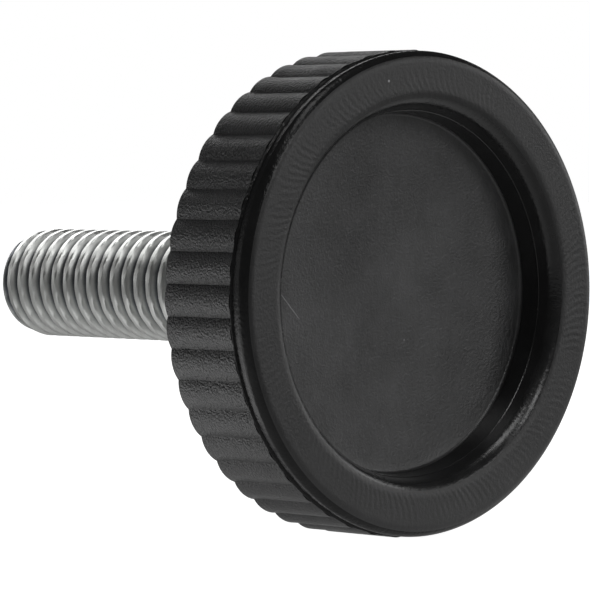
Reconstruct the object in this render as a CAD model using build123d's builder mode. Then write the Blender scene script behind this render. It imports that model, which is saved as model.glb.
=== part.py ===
"""Knurled knob with a moulded-in threaded stud.

A black plastic knob head, gripped by its ribbed rim, carries a steel stud that is moulded into its hub.
The axis of the knob lies along Y. The origin is on that axis at the seat, which is the ring-shaped end
of the hub where the stud leaves it. The stud points along +Y and the recessed face looks along -Y.
All sizes are in millimetres.
"""

import os
from math import cos, radians, sin

from build123d import *

# Rim of the head
rib_count = 47
rib_crest_diameter = 25.0
rib_depth = 0.26
rib_length = 4.85
rib_start_angle = 4.6
band_diameter = 24.9
band_width = 1.15
face_rounding = 0.65

# Recess in the face
lip_diameter = 20.2
lip_rounding = 0.6
bevel_depth = 1.2
wall_diameter = 18.8
floor_diameter = 18.5
recess_depth = 2.4
floor_corner_chamfer = 0.2
floor_flat_diameter = 8.0
floor_dish = 0.4

# Hub at the back of the head
boss_diameter = 12.0
boss_height = 5.5
boss_root_chamfer = 0.5
boss_edge_chamfer = 0.4

# Stud, a metric M6 screw of plain nominal form
stud_diameter = 6.0
stud_length = 20.0
stud_end_diameter = 5.3
stud_lead_length = 1.0

# Buried end of the stud, which the plastic is moulded around
neck_diameter = 4.6
neck_length = 0.7
floor_web = 2.0
drum_diameter = 8.0
drum_tooth_count = 24
drum_tooth_depth = 0.35
drum_groove_width = 1.2
drum_groove_depth = 0.7

# Places along the axis, counted from the seat towards the face
rim_thickness = rib_length + band_width
rib_front = boss_height + rib_length
face_distance = boss_height + rim_thickness
floor_distance = face_distance - recess_depth - floor_dish
anchor_length = floor_distance - floor_web
neck_taper = (stud_diameter - neck_diameter) / 2
drum_start = neck_taper + neck_length
drum_length = anchor_length - drum_start

rim_back_plane = Plane.XZ.offset(boss_height)
drum_start_plane = Plane.XZ.offset(drum_start)


def on_circle(radius, angle):
    """Point of a circle about the origin, at an angle in degrees."""
    return (radius * cos(radians(angle)), radius * sin(radians(angle)))


def scalloped_disc(count, crest_diameter, depth, start_angle):
    """Disc whose edge is a row of rounded ribs that meet in sharp valleys."""
    crest_radius = crest_diameter / 2
    valley_radius = crest_radius - depth
    pitch = 360 / count
    with BuildSketch(mode=Mode.PRIVATE) as disc:
        with BuildLine():
            for rib in range(count):
                crest_angle = start_angle + rib * pitch
                valley_before = on_circle(valley_radius, crest_angle - pitch / 2)
                crest = on_circle(crest_radius, crest_angle)
                valley_after = on_circle(valley_radius, crest_angle + pitch / 2)
                ThreePointArc(valley_before, crest, valley_after)
        make_face()
    return disc.sketch


def toothed_disc(count, tip_diameter, depth):
    """Disc whose edge is a row of straight-sided teeth."""
    tip_radius = tip_diameter / 2
    root_radius = tip_radius - depth
    pitch = 360 / count
    points = []
    for tooth in range(count):
        points.append(on_circle(tip_radius, tooth * pitch))
        points.append(on_circle(root_radius, (tooth + 0.5) * pitch))
    with BuildSketch(mode=Mode.PRIVATE) as disc:
        with BuildLine():
            Polyline(*points, close=True)
        make_face()
    return disc.sketch


def corner(sketch, radius, distance):
    """Corner of a sketched section, with its radius and its distance from the seat towards the face."""
    return sketch.vertices().sort_by_distance((radius, -distance, 0))[0]


# Stud: the rod outside, and the tapered neck, ribbed drum and groove inside the head
with BuildPart() as threaded_stud:
    with BuildSketch(Plane.XY):
        with BuildLine():
            Polyline(
                (0, stud_length),
                (stud_end_diameter / 2, stud_length),
                (stud_diameter / 2, stud_length - stud_lead_length),
                (stud_diameter / 2, 0),
                (neck_diameter / 2, -neck_taper),
                (neck_diameter / 2, -drum_start),
                (0, -drum_start),
                close=True,
            )
        make_face()
    revolve(axis=Axis.Y)
    with BuildSketch(drum_start_plane):
        add(toothed_disc(drum_tooth_count, drum_diameter, drum_tooth_depth))
    extrude(amount=drum_length)
    with BuildSketch(drum_start_plane.offset((drum_length - drum_groove_width) / 2)):
        Circle(drum_diameter / 2)
        Circle(drum_diameter / 2 - drum_groove_depth, mode=Mode.SUBTRACT)
    extrude(amount=drum_groove_width, mode=Mode.SUBTRACT)

# Head: the ribbed ring, the turned section of the band, hub and recess, and the cavity that the stud fills
with BuildPart() as knob_head:
    with BuildSketch(rim_back_plane):
        add(scalloped_disc(rib_count, rib_crest_diameter, rib_depth, rib_start_angle))
        Circle(wall_diameter / 2, mode=Mode.SUBTRACT)
    extrude(amount=rib_length)

    with BuildSketch(Plane.XY) as section:
        with BuildLine():
            core = (wall_diameter + band_diameter) / 4
            floor_edge = (floor_diameter / 2, recess_depth - face_distance)
            Polyline(
                (floor_flat_diameter / 2, -floor_distance),
                (0, -floor_distance),
                (0, 0),
                (boss_diameter / 2, 0),
                (boss_diameter / 2, -boss_height),
                (core, -boss_height),
                (core, -rib_front),
                (band_diameter / 2, -rib_front),
                (band_diameter / 2, -face_distance),
                (lip_diameter / 2, -face_distance),
                (wall_diameter / 2, bevel_depth - face_distance),
                floor_edge,
            )
            TangentArc((floor_flat_diameter / 2, -floor_distance), floor_edge, tangent=(1, 0))
        make_face()
        chamfer(corner(section, boss_diameter / 2, 0), boss_edge_chamfer)
        chamfer(corner(section, boss_diameter / 2, boss_height), boss_root_chamfer)
        chamfer(corner(section, floor_diameter / 2, face_distance - recess_depth), floor_corner_chamfer)
        fillet(corner(section, band_diameter / 2, face_distance), face_rounding)
        fillet(corner(section, lip_diameter / 2, face_distance), lip_rounding)
    revolve(axis=Axis.Y)

    add(threaded_stud.part, mode=Mode.SUBTRACT)

os.makedirs("parts", exist_ok=True)

knob_head.part.label = "knob_head"
export_step(knob_head.part, "parts/knob_head.step")

threaded_stud.part.label = "threaded_stud"
export_step(threaded_stud.part, "parts/threaded_stud.step")
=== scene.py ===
"""Knurled knob with a threaded stud: the detailed head and stud, their materials, and the studio.

Named lengths are in millimetres and named angles in degrees, unless a comment says otherwise. All that
is given to Blender is in metres.
"""

import math

import bmesh
import bpy
from mathutils import Matrix, Vector, noise


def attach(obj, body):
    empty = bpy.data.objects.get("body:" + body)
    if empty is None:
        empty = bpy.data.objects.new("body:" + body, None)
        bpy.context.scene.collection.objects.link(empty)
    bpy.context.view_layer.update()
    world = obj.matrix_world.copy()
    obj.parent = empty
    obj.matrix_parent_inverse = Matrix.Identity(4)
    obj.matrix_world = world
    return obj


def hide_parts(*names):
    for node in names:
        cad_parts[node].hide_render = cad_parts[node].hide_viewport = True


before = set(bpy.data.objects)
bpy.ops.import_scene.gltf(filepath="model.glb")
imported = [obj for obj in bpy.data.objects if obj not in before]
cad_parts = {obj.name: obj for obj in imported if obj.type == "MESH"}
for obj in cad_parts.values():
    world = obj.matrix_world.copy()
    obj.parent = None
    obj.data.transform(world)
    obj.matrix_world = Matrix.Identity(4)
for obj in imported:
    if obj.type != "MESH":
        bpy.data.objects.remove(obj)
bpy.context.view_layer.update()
scene = bpy.context.scene

MM = 0.001
TAU = 2 * math.pi

# Ribs of the rim. They get shallower over RIB_END at the back, and RIB_STEEPNESS is the share of the
# fourth power in their rounding.
RIB_COUNT = 47
RIB_START = 4.6
RIB_STEPS = 10
RIB_ROWS = 16
CREST_R = 12.5
RIB_DEPTH = 0.27
RIB_END_DEPTH = 0.16
RIB_END = 0.9
RIB_STEEPNESS = 0.1
RIB_EDGE = 0.04
RIB_EDGE_ROWS = 2

# Smooth band, with a ragged line of moulding flash and a groove beside the ribs, and a rounded edge
BAND_R = 12.45
BAND_WIDTH = 1.15
BAND_ROWS = 4
FLASH_HEIGHT = 0.03
FLASH_PEAK = 0.03
FLASH_END = 0.07
FLASH_END_SHARE = 0.7
FLASH_WANDER = 0.045
FLASH_NOISE = 0.9
FLASH_SEED = 3.1
GROOVE_DEPTH = 0.1
GROOVE_PLACE = 0.12
FACE_ROUND = 0.65
BAND_EDGE_ANGLE = -15.0
ARC_STEPS = 12

# Outer edge of the face ring: the last part of the band's rounding, most uneven at EDGE_WORN_ANGLE
EDGE_SHARE = 0.1
EDGE_WANDER = 0.022
EDGE_WORN_ANGLE = 150
EDGE_LEAST = 0.15
EDGE_NOISE = 1.3
EDGE_NOISE_ALONG = 9
EDGE_SEED = 7.7

# Places along the axis: the seat is at 0 and the face at FACE_Y
BOSS_HEIGHT = 5.5
RIM_THICKNESS = 6.0
BEVEL_DEPTH = 1.2
RECESS_DEPTH = 2.4
FLOOR_DISH = 0.4
RIM_BACK_Y = -BOSS_HEIGHT
FACE_Y = RIM_BACK_Y - RIM_THICKNESS
RIB_FRONT_Y = FACE_Y + BAND_WIDTH
BEVEL_Y = FACE_Y + BEVEL_DEPTH
FLOOR_Y = FACE_Y + RECESS_DEPTH
FLOOR_MID_Y = FLOOR_Y + FLOOR_DISH

# Face ring, its rounded lip, of which LIP_SHARE has the ring's material, and the bevel with its bead
RING_INNER_R = 10.44
RING_ROWS = 10
LIP_ROUND = 0.936
LIP_TURN = 75.0
LIP_SHARE = 0.12
BEVEL_ROWS = 5
BEAD = 0.04
BEAD_HEIGHT = BEAD * 0.6
BEAD_FLAT = BEAD * 0.3
BEAD_STEP = 0.012

# Wall and floor of the recess
WALL_R = 9.4
WALL_ROWS = 6
FLOOR_R = 9.25
FLOOR_ROWS = 24
FLOOR_CORNER = 0.18
FLOOR_CORNER_OUT = 0.01
FLOOR_CORNER_TURN = 80
FLOOR_CORNER_STEPS = 5

# Hub, the back of the head, and the hole that the stud fills
BOSS_R = 6.0
BOSS_CHAMFER = 0.4
BOSS_ROOT = 0.5
BOSS_ROWS = 6
CHAMFER_ROWS = 3
SEAT_ROWS = 4
BACK_ROWS = 8
BACK_INSET = 0.2
HOLE_R = 2.98
HOLE_END_Y = -0.6

# Stud. The flats are shares of the pitch, and FLANK_STRAIGHT is the straight share of a flank's form.
STUD_R = 3.0
STUD_LENGTH = 20.0
STUD_START_Y = -0.3
STUD_AROUND = 96
ROWS_PER_PITCH = 16
PITCH = 1.0
THREAD_DEPTH = 0.55
ROOT_FLAT = 0.16
CREST_FLAT = 0.32
THREAD_PHASE = 0.04
FLANK_STRAIGHT = 0.45
TIP_LEAD = 1.36
TIP_R = 2.68
TIP_ROUND = 0.35

# Angles above which an edge is sharp, and the distance in metres below which points are merged
HEAD_SHARP = 28
STUD_SHARP = 35
MERGE_DISTANCE = 1e-8

# Camera, fitted to the photograph
CAMERA_AZIMUTH = -42.5
CAMERA_ELEVATION = 1.765
CAMERA_RANGE = 211.1
CAMERA_SHIFT_ACROSS = -6.722
CAMERA_SHIFT_UP = -0.038
CAMERA_LENS = 252.4

# Chatter marks of the cutter that made the mould's face ring. Their bend is in turns per square metre
# inside CHATTER_R, their slant in turns per metre, their wander in turns and their height in metres.
CHATTER_PITCH = 2.05
CHATTER_R = 11.3
CHATTER_BEND = 700000.0
CHATTER_SLANT = 550.0
CHATTER_WANDER = 1.6
CHATTER_HEIGHT = 0.0000048

# How the marks fade, as the ends of a ramp and its levels there: at the ring's inner edge, at its
# outer edge, in random gaps, and towards the upper left. Radii and places are in metres.
CHATTER_INSIDE = (0.0101, 0.0105, 0.3, 1.0)
CHATTER_OUTSIDE = (0.0113, 0.0118, 1.0, 0.2)
CHATTER_GAPS = (0.35, 0.6, 0.1, 1.0)
CHATTER_SIDE = (-0.004, 0.006, 0.8, 1.0)

# Dust and nicks on the face as places (x, z, radius), and a hair on the floor of the recess. The cores
# are the shares of their size over which they show fully.
RING_SPECKS = ((-2.68, 10.83, 0.09),)
RING_NICKS = ((1.11, -9.95, 0.1), (1.22, -9.87, 0.08), (3.25, -11.35, 0.09), (4.8, -10.8, 0.08))
FLOOR_SPECKS = ((8.73, -3.66, 0.07), (1.07, -2.45, 0.07))
SPOT_CORE = 0.5
HAIR_MIDDLE = (-7.185, -0.455)
HAIR_DIRECTION = (0.716, -0.698)
HAIR_HALF_LENGTH = 1.11
HAIR_HALF_WIDTH = 0.035
HAIR_LENGTH_CORE = 0.8
HAIR_WIDTH_CORE = 0.4

# Heights of the materials' grain, in metres
KNURL_COARSE = 0.00014
KNURL_FINE = 0.00001
RING_GRAIN = 0.000034
FLOOR_GRAIN = 0.000036
FLOOR_STREAKS = 0.000005
ZINC_GRAIN = 0.000006

# How much finer the floor's streaks are across than along
STREAK_STRETCH = 3.2

# Smooth zones of the moulding: least and greatest roughness, height of the grain in metres, and shine
GLOSS = {
    "band": (0.16, 0.22, 0.00003, 0.16),
    "wall": (0.16, 0.24, 0.00001, 0.5),
    "lip": (0.2, 0.28, 0.000016, 0.5),
    "back": (0.34, 0.42, 0.00001, 0.5),
}

# Radii between which the zinc's colour turns from painted shade in the thread's roots to a painted
# highlight on its crests, and how far they wander, in metres
PAINTED_LIGHT_FROM, PAINTED_LIGHT_TO = 0.00258, 0.00288
PAINTED_LIGHT_WANDER = 0.00012

# Studio, in metres: the floor, the level of the world for all but the camera, and the glowing pools of
# the floor (x, y, inner radius, outer radius, level)
FLOOR_PLANE_Z = -0.01252
FLOOR_PLANE_HALF = 1.5
STUDIO_DARK = 0.04
POOLS = (
    (-0.024, 0.004, 0.008, 0.045, 0.55),
    (0.022, -0.010, 0.008, 0.03, 0.4),
)

# Lights: name, direction in the camera's axes (right, up, back), distance and size in metres, power in
# watts, and the collection that they shine on alone
LIGHTS = (
    ("edge_light", (0.72, 0.07, -0.69), 0.6, (0.1, 0.06), 0.03, "head_only"),
    ("right_light", (0.959, 0.1, 0.284), 0.5, (0.24, 0.6), 0.7, None),
    ("right_back_light", (0.927, 0.1, -0.375), 0.5, (0.2, 0.5), 0.6, None),
    ("backdrop_light", (-0.22, 0.5, -0.84), 0.6, (0.4, 0.22), 0.36, None),
    ("backdrop_right_light", (0.6, 0.15, -0.78), 0.6, (0.4, 0.4), 0.14, None),
    ("left_light", (-0.95, 0.14, -0.25), 0.5, (0.3, 0.14), 0.045, None),
    ("top_light", (0.07, 0.93, 0.3), 0.5, (0.14, 0.3), 0.55, None),
    ("front_light", (0.45, 0.55, 0.68), 0.5, (0.12, 0.12), 0.3, None),
    ("stud_top_light", (-0.55, 0.65, -0.5), 0.5, (0.25, 0.2), 0.28, "stud_only"),
    ("stud_left_light", (-0.9, 0.1, -0.4), 0.5, (0.15, 0.3), 0.12, "stud_only"),
    ("stud_back_light", (-0.2, 0.3, -0.93), 0.6, (0.5, 0.4), 1.2, "stud_only"),
)

# Light on the floor behind the knob, in metres and watts, turned over to shine upwards
POOL_LIGHT_PLACE = (-0.062, 0.045, -0.0122)
POOL_LIGHT_SIZE = (0.1, 0.1)
POOL_LIGHT_POWER = 0.035
TURNED_OVER = (0, 1, 0, 0)

# Zones of the head, as material slots, and the zones of its section that take another zone's material
ZONES = ("knurl", "band", "ring", "lip", "wall", "floor", "back")
ZONE_MATERIALS = {"flash": "band", "edge": "ring"}


def arc_points(centre, radius, start, end, count):
    """Points (r, y) of an arc in the section, angles in degrees."""
    points = []
    for i in range(count + 1):
        a = math.radians(start + (end - start) * i / count)
        points.append((centre[0] + radius * math.cos(a), centre[1] + radius * math.sin(a)))
    return points


def between(start, end, share):
    """Point at a share of the way from one point (r, y) of the section to another."""
    return (start[0] + (end[0] - start[0]) * share, start[1] + (end[1] - start[1]) * share)


def new_material(name):
    """A material with its Principled shader joined to its output, and that shader."""
    material = bpy.data.materials.new(name)
    material.use_nodes = True
    nodes = material.node_tree.nodes
    nodes.clear()
    shader = nodes.new("ShaderNodeBsdfPrincipled")
    output = nodes.new("ShaderNodeOutputMaterial")
    material.node_tree.links.new(shader.outputs["BSDF"], output.inputs["Surface"])
    return material, shader


class Graph:
    """Short calls for the nodes of one material."""

    def __init__(self, material):
        self.tree = material.node_tree
        self.coords = self.add("ShaderNodeTexCoord").outputs["Object"]

    def add(self, kind):
        return self.tree.nodes.new(kind)

    def link(self, source, target):
        self.tree.links.new(source, target)

    def math(self, operation, a, b=None, clamp=False):
        node = self.add("ShaderNodeMath")
        node.operation = operation
        node.use_clamp = clamp
        for socket, value in zip(node.inputs, (a, b)):
            if value is None:
                continue
            if isinstance(value, (int, float)):
                socket.default_value = value
            else:
                self.link(value, socket)
        return node.outputs[0]

    def product(self, first, *others):
        for value in others:
            first = self.math("MULTIPLY", first, value)
        return first

    def total(self, first, *others):
        for value in others:
            first = self.math("ADD", first, value)
        return first

    def blend(self, *parts):
        """Sum of values, each times its share."""
        return self.total(*[self.math("MULTIPLY", value, share) for value, share in parts])

    def distance(self, across, up):
        return self.math("SQRT", self.total(self.product(across, across), self.product(up, up)))

    def split(self, vector):
        node = self.add("ShaderNodeSeparateXYZ")
        self.link(vector, node.inputs[0])
        return node.outputs

    def join(self, x, y, z):
        node = self.add("ShaderNodeCombineXYZ")
        for socket, value in zip(node.inputs, (x, y, z)):
            self.link(value, socket)
        return node.outputs[0]

    def noise(self, scale, detail, roughness, vector=None):
        node = self.add("ShaderNodeTexNoise")
        node.inputs["Scale"].default_value = scale
        node.inputs["Detail"].default_value = detail
        node.inputs["Roughness"].default_value = roughness
        self.link(vector or self.coords, node.inputs["Vector"])
        return node.outputs["Fac"]

    def ramp(self, value, low, high, out_low, out_high):
        """Smooth step from one level, at and below low, to another, at and above high."""
        node = self.add("ShaderNodeMapRange")
        node.interpolation_type = "SMOOTHSTEP"
        node.inputs["From Min"].default_value = low
        node.inputs["From Max"].default_value = high
        node.inputs["To Min"].default_value = out_low
        node.inputs["To Max"].default_value = out_high
        self.link(value, node.inputs["Value"])
        return node.outputs["Result"]

    def inside(self, value, limit, core):
        """1 up to a share of a limit in millimetres, the core, then falling to 0 at the limit."""
        return self.ramp(value, limit * core * MM, limit * MM, 1.0, 0.0)

    def colours(self, value, stops):
        """Colour of a value, by stops (place, colour)."""
        node = self.add("ShaderNodeValToRGB")
        ramp = node.color_ramp
        for i, (place, colour) in enumerate(stops):
            stop = ramp.elements[i] if i < 2 else ramp.elements.new(place)
            stop.position = place
            stop.color = (*colour, 1.0)
        self.link(value, node.inputs["Fac"])
        return node.outputs["Color"]

    def bump(self, height, distance, strength=1.0, normal=None):
        node = self.add("ShaderNodeBump")
        node.inputs["Distance"].default_value = distance
        node.inputs["Strength"].default_value = strength
        self.link(height, node.inputs["Height"])
        if normal is not None:
            self.link(normal, node.inputs["Normal"])
        return node.outputs["Normal"]

    def polar(self):
        """Angle in degrees about the knob's axis, and the radius in metres."""
        x, _, z = self.split(self.coords)
        angle = self.math("MULTIPLY", self.math("ARCTAN2", z, x), 180 / math.pi)
        return angle, self.distance(x, z)

    def from_place(self, place):
        """How far across and up from a place (x, z) of the face, given in millimetres."""
        x, _, z = self.split(self.coords)
        return self.math("SUBTRACT", x, place[0] * MM), self.math("SUBTRACT", z, place[1] * MM)


def grey(level):
    """A slightly bluish grey."""
    return (level, level, level * 1.02)


def spots(g, places):
    """1 inside small round spots of the face, at places (x, z, radius), and 0 elsewhere."""
    found = []
    for x, z, radius in places:
        across, up = g.from_place((x, z))
        found.append(g.inside(g.distance(across, up), radius, SPOT_CORE))
    return g.total(*found)


def hair_line(g):
    """1 on a short straight hair on the floor of the recess, and 0 elsewhere."""
    across, up = g.from_place(HAIR_MIDDLE)
    dx, dz = HAIR_DIRECTION
    along = g.math("ADD", g.product(across, dx), g.product(up, dz))
    beside = g.math("SUBTRACT", g.product(across, dz), g.product(up, dx))
    length = g.inside(g.math("ABSOLUTE", along), HAIR_HALF_LENGTH, HAIR_LENGTH_CORE)
    width = g.inside(g.math("ABSOLUTE", beside), HAIR_HALF_WIDTH, HAIR_WIDTH_CORE)
    return g.product(length, width)


def x_less_z(g):
    """Grows from the upper left of the face to its lower right, in metres."""
    x, _, z = g.split(g.coords)
    return g.math("SUBTRACT", x, z)


def knurl_material():
    """Sandy moulding of the ribs."""
    material, shader = new_material("moulding_knurl")
    g = Graph(material)
    coarse = g.noise(scale=8200, detail=2.0, roughness=0.55)
    fine = g.noise(scale=16000, detail=2.0, roughness=0.6)
    patches = g.noise(scale=350, detail=3.0, roughness=0.6)
    tone = g.blend((coarse, 0.6), (patches, 0.4))
    stops = [(0.35, grey(0.024)), (0.65, grey(0.038))]
    g.link(g.colours(tone, stops), shader.inputs["Base Color"])
    g.link(g.ramp(patches, 0.35, 0.65, 0.3, 0.4), shader.inputs["Roughness"])
    rough = g.bump(coarse, KNURL_COARSE)
    g.link(g.bump(fine, KNURL_FINE, 0.6, rough), shader.inputs["Normal"])
    return material


def gloss_material(zone):
    """Smooth moulding with a fine grain."""
    least_rough, most_rough, grain, shine = GLOSS[zone]
    material, shader = new_material("moulding_" + zone)
    g = Graph(material)
    patches = g.noise(scale=700, detail=4.0, roughness=0.6)
    fine = g.noise(scale=6000, detail=2.0, roughness=0.5)
    stops = [(0.3, grey(0.010)), (0.7, grey(0.015))]
    g.link(g.colours(patches, stops), shader.inputs["Base Color"])
    g.link(g.ramp(patches, 0.35, 0.65, least_rough, most_rough), shader.inputs["Roughness"])
    g.link(g.bump(fine, grain), shader.inputs["Normal"])
    shader.inputs["Specular IOR Level"].default_value = shine
    return material


def ring_material():
    """Satin face ring with chatter marks, a speck of dust and a few nicks."""
    material, shader = new_material("moulding_ring")
    g = Graph(material)
    angle, radius = g.polar()
    wander = g.noise(scale=260, detail=2.0, roughness=0.5)
    inwards = g.math("SUBTRACT", CHATTER_R * MM, radius)
    turns = g.total(
        g.product(angle, 1 / CHATTER_PITCH),
        g.product(inwards, inwards, CHATTER_BEND),
        g.product(inwards, CHATTER_SLANT),
        g.product(wander, CHATTER_WANDER),
    )
    wave = g.math("SINE", g.product(turns, TAU))
    gaps = g.noise(scale=420, detail=2.0, roughness=0.6)
    amount = g.product(
        g.ramp(radius, *CHATTER_INSIDE),
        g.ramp(radius, *CHATTER_OUTSIDE),
        g.ramp(gaps, *CHATTER_GAPS),
        g.ramp(x_less_z(g), *CHATTER_SIDE),
    )
    fine = g.noise(scale=6500, detail=3.0, roughness=0.6)
    patches = g.noise(scale=500, detail=3.0, roughness=0.6)
    tone = g.blend((patches, 0.8), (spots(g, RING_SPECKS), 0.6))
    tone = g.math("SUBTRACT", tone, spots(g, RING_NICKS), clamp=True)
    stops = [(0.0, grey(0.001)), (0.25, grey(0.013)), (0.56, grey(0.019)), (0.95, grey(0.3))]
    g.link(g.colours(tone, stops), shader.inputs["Base Color"])
    g.link(g.ramp(patches, 0.35, 0.65, 0.34, 0.42), shader.inputs["Roughness"])
    marks = g.bump(g.product(wave, amount), CHATTER_HEIGHT)
    g.link(g.bump(fine, RING_GRAIN, 0.7, marks), shader.inputs["Normal"])
    return material


def floor_material():
    """Satin recess floor with faint streaks, cloudy patches of painted reflection, dust and a hair."""
    material, shader = new_material("moulding_floor")
    g = Graph(material)
    x, y, z = g.split(g.coords)
    stretched = g.join(g.product(x, STREAK_STRETCH), y, z)
    streaks = g.noise(scale=1400, detail=3.0, roughness=0.6, vector=stretched)
    fine = g.noise(scale=7000, detail=3.0, roughness=0.6)
    patches = g.noise(scale=420, detail=4.0, roughness=0.6)
    # Large soft cloudy patches of painted reflection, lighter and darker, stand in for the soft light
    # that the dished floor mirrors. They make half of the floor's tone; the rest is random tone, dust
    # and the hair.
    painted_reflection_clouds = g.noise(scale=110, detail=2.0, roughness=0.5)
    tone = g.blend((streaks, 0.2), (patches, 0.3), (painted_reflection_clouds, 0.5))
    dust = g.total(spots(g, FLOOR_SPECKS), hair_line(g))
    stops = [(0.3, grey(0.014)), (0.5, grey(0.054)), (0.95, grey(0.2))]
    g.link(g.colours(g.blend((tone, 0.8), (dust, 0.5)), stops), shader.inputs["Base Color"])
    g.link(g.ramp(tone, 0.3, 0.7, 0.27, 0.34), shader.inputs["Roughness"])
    lines = g.bump(streaks, FLOOR_STREAKS, 0.8)
    g.link(g.bump(fine, FLOOR_GRAIN, 0.7, lines), shader.inputs["Normal"])
    return material


def zinc_material():
    """Bright zinc, with a painted highlight on the crests and painted shade, duller and darker, down
    the flanks.
    """
    material, shader = new_material("zinc_thread")
    g = Graph(material)
    _, radius = g.polar()
    fine = g.noise(scale=9000, detail=3.0, roughness=0.6)
    patches = g.noise(scale=900, detail=3.0, roughness=0.6)
    # Painted light by radius: the crests get a painted highlight and the flanks and roots painted
    # shade, the radius wandered a little by the patches.
    worn = g.total(radius, g.product(g.math("SUBTRACT", patches, 0.5), PAINTED_LIGHT_WANDER))
    painted_crest_highlight = g.ramp(worn, PAINTED_LIGHT_FROM, PAINTED_LIGHT_TO, 0.0, 1.0)
    tone = g.blend((painted_crest_highlight, 0.85), (fine, 0.15))
    stops = [(0.05, (0.15, 0.16, 0.18)), (0.5, (0.46, 0.47, 0.47)), (0.95, (0.74, 0.75, 0.73))]
    g.link(g.colours(tone, stops), shader.inputs["Base Color"])
    g.link(g.ramp(patches, 0.35, 0.7, 0.36, 0.46), shader.inputs["Roughness"])
    g.link(g.bump(fine, ZINC_GRAIN, 0.6), shader.inputs["Normal"])
    shader.inputs["Metallic"].default_value = 1.0
    return material


def floor_plane_material():
    """Matt pale floor that the camera sees as plain white, with glowing pools for the rest to see."""
    material, shader = new_material("pale_floor")
    g = Graph(material)
    soft = g.noise(scale=3, detail=2.0, roughness=0.5)
    stops = [(0.3, (0.5, 0.5, 0.5)), (0.7, (0.56, 0.56, 0.56))]
    g.link(g.colours(soft, stops), shader.inputs["Base Color"])
    shader.inputs["Roughness"].default_value = 0.9
    shader.inputs["Emission Color"].default_value = (1.0, 1.0, 1.0, 1.0)
    seen = g.add("ShaderNodeLightPath").outputs["Is Camera Ray"]
    x, y, _ = g.split(g.coords)
    pools = []
    for pool_x, pool_y, inner, outer, level in POOLS:
        away = g.distance(g.math("SUBTRACT", x, pool_x), g.math("SUBTRACT", y, pool_y))
        pools.append(g.ramp(away, inner, outer, level, 0.0))
    g.link(g.math("MAXIMUM", seen, g.total(*pools)), shader.inputs["Emission Strength"])
    return material


def head_section():
    """Rows (r, y, zone) from the stud's hole over the hub, the back and the ribs to the face ring."""
    rows = []

    def run(start, end, count, zone):
        for i in range(count + 1):
            rows.append((*between(start, end, i / count), zone))

    seat_end = (BOSS_R - BOSS_CHAMFER, 0.0)
    boss_start = (BOSS_R, -BOSS_CHAMFER)
    boss_end = (BOSS_R, RIM_BACK_Y + BOSS_ROOT)
    back_start = (BOSS_R + BOSS_ROOT, RIM_BACK_Y)
    back_end = (CREST_R - RIB_DEPTH - BACK_INSET, RIM_BACK_Y)
    rib_start = (CREST_R, RIM_BACK_Y - RIB_EDGE)
    rows.append((HOLE_R, HOLE_END_Y, "back"))
    run((HOLE_R, 0.0), seat_end, SEAT_ROWS, "back")
    run(seat_end, boss_start, CHAMFER_ROWS, "back")
    run(boss_start, boss_end, BOSS_ROWS, "back")
    run(boss_end, back_start, CHAMFER_ROWS, "back")
    run(back_start, back_end, BACK_ROWS, "back")
    run((CREST_R - RIB_EDGE, RIM_BACK_Y), rib_start, RIB_EDGE_ROWS, "knurl")
    run(rib_start, (CREST_R, RIB_FRONT_Y), RIB_ROWS, "knurl")
    rows.append((BAND_R - FLASH_HEIGHT, RIB_FRONT_Y, "flash"))
    rows.append((BAND_R + FLASH_HEIGHT, RIB_FRONT_Y - FLASH_PEAK, "flash"))
    rows.append((BAND_R + FLASH_HEIGHT * FLASH_END_SHARE, RIB_FRONT_Y - FLASH_END, "flash"))
    groove = (BAND_R - GROOVE_DEPTH, RIB_FRONT_Y - GROOVE_PLACE)
    corner = (BAND_R - FACE_ROUND, FACE_Y + FACE_ROUND)
    rounding = arc_points(corner, FACE_ROUND, BAND_EDGE_ANGLE, -90, ARC_STEPS)
    run(groove, rounding[0], BAND_ROWS, "band")
    for r, y in rounding[1:]:
        rows.append((r, y, "edge" if y < FACE_Y + EDGE_SHARE * FACE_ROUND else "band"))
    return rows


def recess_section():
    """Rows (r, y, zone) of the face ring, the rounded lip, the bevel, the wall and the floor."""
    rows = []
    outer = BAND_R - FACE_ROUND
    for i in range(1, RING_ROWS + 1):
        rows.append((outer + (RING_INNER_R - outer) * i / RING_ROWS, FACE_Y, "ring"))
    lip_middle = (RING_INNER_R, FACE_Y + LIP_ROUND)
    for r, y in arc_points(lip_middle, LIP_ROUND, -90, -90 - LIP_TURN, ARC_STEPS)[1:]:
        rows.append((r, y, "ring" if y < FACE_Y + LIP_SHARE * LIP_ROUND else "lip"))
    bevel_start = rows[-1]
    for i in range(1, BEVEL_ROWS):
        rows.append((*between(bevel_start, (WALL_R, BEVEL_Y), i / BEVEL_ROWS), "wall"))
    rows.append((WALL_R + BEAD_STEP, BEVEL_Y - BEAD, "wall"))
    rows.append((WALL_R - BEAD_HEIGHT, BEVEL_Y - BEAD_FLAT, "lip"))
    rows.append((WALL_R - BEAD_HEIGHT, BEVEL_Y + BEAD_FLAT, "lip"))
    wall_start = (WALL_R, BEVEL_Y + BEAD)
    wall_end = (FLOOR_R, FLOOR_Y - FLOOR_CORNER)
    rows.append((*wall_start, "lip"))
    for i in range(1, WALL_ROWS + 1):
        rows.append((*between(wall_start, wall_end, i / WALL_ROWS), "wall"))
    corner = (FLOOR_R - FLOOR_CORNER + FLOOR_CORNER_OUT, FLOOR_Y - FLOOR_CORNER)
    for r, y in arc_points(corner, FLOOR_CORNER, 0, FLOOR_CORNER_TURN, FLOOR_CORNER_STEPS)[1:]:
        rows.append((r, y, "floor"))
    start_r = rows[-1][0]
    for i in range(1, FLOOR_ROWS + 1):
        r = start_r * (1 - i / FLOOR_ROWS)
        share = r / FLOOR_R
        rows.append((r, FLOOR_MID_Y + (FLOOR_Y - FLOOR_MID_Y) * share * share, "floor"))
    return rows


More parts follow.
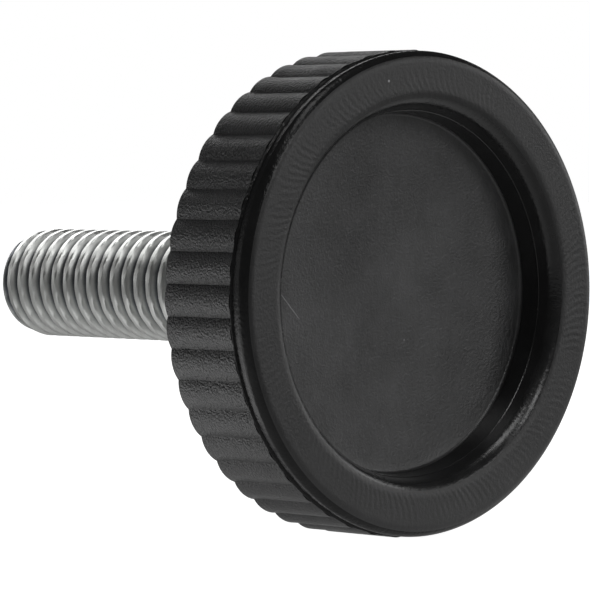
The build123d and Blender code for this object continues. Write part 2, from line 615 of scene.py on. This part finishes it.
def rib_drop(angle, y):
    """How far the rim lies inside its crests: round ribs with sharp valleys, shallower at the back."""
    pitch = 360 / RIB_COUNT
    phase = ((angle - RIB_START) / pitch + 0.5) % 1.0 - 0.5
    into_end = min((RIM_BACK_Y - y) / RIB_END, 1.0)
    depth = RIB_END_DEPTH + (RIB_DEPTH - RIB_END_DEPTH) * into_end
    square = 4 * phase * phase
    return depth * ((1 - RIB_STEEPNESS) * square + RIB_STEEPNESS * square * square)


def rim_radius(r, y, zone, angle):
    """Radius of a row at an angle: ribbed, ragged at the flash, and uneven at the face ring's edge."""
    if zone == "knurl":
        return r - rib_drop(angle, y)
    if zone == "flash":
        ragged = noise.noise(Vector((angle * FLASH_NOISE, y, FLASH_SEED)))
        return r - FLASH_WANDER * (0.5 + 0.5 * ragged)
    if zone == "edge":
        worn = max(math.cos(math.radians(angle - EDGE_WORN_ANGLE)), EDGE_LEAST)
        uneven = noise.noise(Vector((angle * EDGE_NOISE, y * EDGE_NOISE_ALONG, EDGE_SEED)))
        return r + EDGE_WANDER * worn * uneven
    return r


def turned_point(r, y, angle):
    """Point in metres, from a radius and a place along the axis in millimetres, angle in radians."""
    return (r * math.cos(angle) * MM, y * MM, r * math.sin(angle) * MM)


def row_faces(row, count):
    """Faces between a row of points and the next one."""
    low, high = row * count, (row + 1) * count
    faces = []
    for j in range(count):
        k = (j + 1) % count
        faces.append((low + j, low + k, high + k, high + j))
    return faces


def head_mesh():
    """One closed surface of rows turned about the knob's axis, with the ribs in its rim rows."""
    rows = head_section() + recess_section()
    angles = []
    for rib in range(RIB_COUNT):
        for s in range(RIB_STEPS):
            angles.append(RIB_START + (rib - 0.5 + s / RIB_STEPS) * 360 / RIB_COUNT)
    count = len(angles)
    vertices, faces, zones = [], [], []
    for r, y, zone in rows[:-1]:
        for angle in angles:
            vertices.append(turned_point(rim_radius(r, y, zone, angle), y, math.radians(angle)))
    for i in range(len(rows) - 2):
        zone = rows[i + 1][2]
        faces += row_faces(i, count)
        zones += [ZONE_MATERIALS.get(zone, zone)] * count
    middle = len(vertices)
    vertices.append((0.0, rows[-1][1] * MM, 0.0))
    vertices.append((0.0, HOLE_END_Y * MM, 0.0))
    last_row = (len(rows) - 2) * count
    for j in range(count):
        k = (j + 1) % count
        faces.append((last_row + j, last_row + k, middle))
        zones.append("floor")
        faces.append((k, j, middle + 1))
        zones.append("back")
    mesh = bpy.data.meshes.new("head")
    mesh.from_pydata(vertices, [], faces)
    for name in ZONES:
        mesh.materials.append(MATERIALS[name])
    for polygon, zone in zip(mesh.polygons, zones):
        polygon.material_index = ZONES.index(zone)
        polygon.use_smooth = True
    return mesh


def finish_mesh(mesh, sharp_degrees):
    """Merges doubled points, points all normals outwards and marks sharp edges."""
    work = bmesh.new()
    work.from_mesh(mesh)
    bmesh.ops.remove_doubles(work, verts=work.verts, dist=MERGE_DISTANCE)
    bmesh.ops.recalc_face_normals(work, faces=work.faces)
    work.to_mesh(mesh)
    work.free()
    mesh.set_sharp_from_angle(angle=math.radians(sharp_degrees))
    mesh.update()


def build_head():
    mesh = head_mesh()
    finish_mesh(mesh, HEAD_SHARP)
    head = bpy.data.objects.new("head", mesh)
    scene.collection.objects.link(head)
    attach(head, "root")
    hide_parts("knob_head")
    return head


def thread_radius(y, angle):
    """Radius of the thread at a place along the stud, for a right-hand thread, angle in turns."""
    phase = (y / PITCH + angle + THREAD_PHASE) % 1.0
    distance = abs(phase - 0.5) * PITCH
    flank = (1 - CREST_FLAT - ROOT_FLAT) * PITCH / 2
    drop = min(max((distance - CREST_FLAT * PITCH / 2) / flank, 0.0), 1.0)
    eased = drop * drop * (3 - 2 * drop)
    return STUD_R - THREAD_DEPTH * (FLANK_STRAIGHT * drop + (1 - FLANK_STRAIGHT) * eased)


def tip_limit(y):
    """Largest radius that the stud's lead and its rounded end leave at a place along it."""
    lead = max(0.0, y - (STUD_LENGTH - TIP_LEAD)) / TIP_LEAD
    limit = STUD_R - (STUD_R - TIP_R) * lead
    into_round = max(0.0, y - (STUD_LENGTH - TIP_ROUND))
    return limit - TIP_ROUND + math.sqrt(max(TIP_ROUND ** 2 - into_round ** 2, 0.0))


def stud_mesh():
    """Closed threaded rod whose start is hidden in the head."""
    length = STUD_LENGTH - STUD_START_Y
    rows = int(length / PITCH * ROWS_PER_PITCH) + 1
    vertices, faces = [], []
    for i in range(rows):
        y = STUD_START_Y + length * i / (rows - 1)
        limit = tip_limit(y)
        for j in range(STUD_AROUND):
            turn = j / STUD_AROUND
            vertices.append(turned_point(min(thread_radius(y, turn), limit), y, TAU * turn))
    for i in range(rows - 1):
        faces += row_faces(i, STUD_AROUND)
    end = len(vertices)
    vertices.append((0.0, STUD_LENGTH * MM, 0.0))
    vertices.append((0.0, STUD_START_Y * MM, 0.0))
    last_row = (rows - 1) * STUD_AROUND
    for j in range(STUD_AROUND):
        k = (j + 1) % STUD_AROUND
        faces.append((last_row + j, last_row + k, end))
        faces.append((k, j, end + 1))
    mesh = bpy.data.meshes.new("stud")
    mesh.from_pydata(vertices, [], faces)
    mesh.materials.append(MATERIALS["zinc"])
    for polygon in mesh.polygons:
        polygon.use_smooth = True
    return mesh


def build_stud():
    mesh = stud_mesh()
    finish_mesh(mesh, STUD_SHARP)
    stud = bpy.data.objects.new("stud", mesh)
    scene.collection.objects.link(stud)
    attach(stud, "root")
    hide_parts("threaded_stud")
    return stud


def lit_alone(piece, name):
    """Puts a piece in a collection of its own, for lights that shine on nothing else."""
    collection = bpy.data.collections.new(name)
    collection.objects.link(piece)


def camera_axes():
    """Right, up and back directions of the camera."""
    a, e = math.radians(CAMERA_AZIMUTH), math.radians(CAMERA_ELEVATION)
    right = Vector((math.cos(a), math.sin(a), 0))
    back = Vector((math.sin(a) * math.cos(e), -math.cos(a) * math.cos(e), math.sin(e)))
    return right, back.cross(right), back


def build_camera():
    right, up, back = camera_axes()
    data = bpy.data.cameras.new("camera")
    data.lens = CAMERA_LENS
    data.clip_start = 0.01
    data.clip_end = 10
    camera = bpy.data.objects.new("camera", data)
    scene.collection.objects.link(camera)
    face = Vector((0, FACE_Y, 0))
    place = face + right * CAMERA_SHIFT_ACROSS + up * CAMERA_SHIFT_UP + back * CAMERA_RANGE
    camera.matrix_world = Matrix((
        (right.x, up.x, back.x, place.x * MM),
        (right.y, up.y, back.y, place.y * MM),
        (right.z, up.z, back.z, place.z * MM),
        (0, 0, 0, 1),
    ))
    scene.camera = camera


def new_light(name, size, power, receivers):
    """A soft light that the camera doesn't see, for everything or for one collection alone."""
    data = bpy.data.lights.new(name, "AREA")
    data.shape = "RECTANGLE"
    data.size, data.size_y = size
    data.energy = power
    light = bpy.data.objects.new(name, data)
    light.visible_camera = False
    light.rotation_mode = "QUATERNION"
    scene.collection.objects.link(light)
    if receivers is not None:
        light.light_linking.receiver_collection = bpy.data.collections[receivers]
    return light


def aimed_light(name, direction, distance, size, power, receivers):
    """A light in a direction given in the camera's axes (right, up, back), aimed at the seat."""
    right, up, back = camera_axes()
    place = right * direction[0] + up * direction[1] + back * direction[2]
    place = place.normalized() * distance
    light = new_light(name, size, power, receivers)
    light.location = place
    light.rotation_quaternion = place.to_track_quat("Z", "Y")


def pool_light():
    """The light that the pale floor behind the knob throws up at its ribs."""
    light = new_light("pool_light", POOL_LIGHT_SIZE, POOL_LIGHT_POWER, "head_only")
    light.location = POOL_LIGHT_PLACE
    light.rotation_quaternion = TURNED_OVER


def build_floor():
    """Pale floor just below the lowest rib."""
    mesh = bpy.data.meshes.new("floor")
    w = FLOOR_PLANE_HALF
    mesh.from_pydata([(-w, -w, 0), (w, -w, 0), (w, w, 0), (-w, w, 0)], [], [(0, 1, 2, 3)])
    mesh.materials.append(MATERIALS["pale_floor"])
    floor = bpy.data.objects.new("floor", mesh)
    floor.location = (0, 0, FLOOR_PLANE_Z)
    scene.collection.objects.link(floor)


def build_world():
    """White to the camera and dark to everything else."""
    world = bpy.data.worlds.new("studio")
    scene.world = world
    world.use_nodes = True
    tree = world.node_tree
    background = tree.nodes["Background"]
    background.inputs["Color"].default_value = (1, 1, 1, 1)
    seen = tree.nodes.new("ShaderNodeLightPath").outputs["Is Camera Ray"]
    level = tree.nodes.new("ShaderNodeMapRange")
    level.inputs["To Min"].default_value = STUDIO_DARK
    level.inputs["To Max"].default_value = 1.0
    tree.links.new(seen, level.inputs["Value"])
    tree.links.new(level.outputs["Result"], background.inputs["Strength"])


MATERIALS = {
    "knurl": knurl_material(),
    "band": gloss_material("band"),
    "ring": ring_material(),
    "wall": gloss_material("wall"),
    "floor": floor_material(),
    "lip": gloss_material("lip"),
    "back": gloss_material("back"),
    "zinc": zinc_material(),
    "pale_floor": floor_plane_material(),
}

build_camera()
lit_alone(build_head(), "head_only")
lit_alone(build_stud(), "stud_only")
build_floor()
build_world()
pool_light()
for light_values in LIGHTS:
    aimed_light(*light_values)

scene.view_settings.view_transform = "Standard"
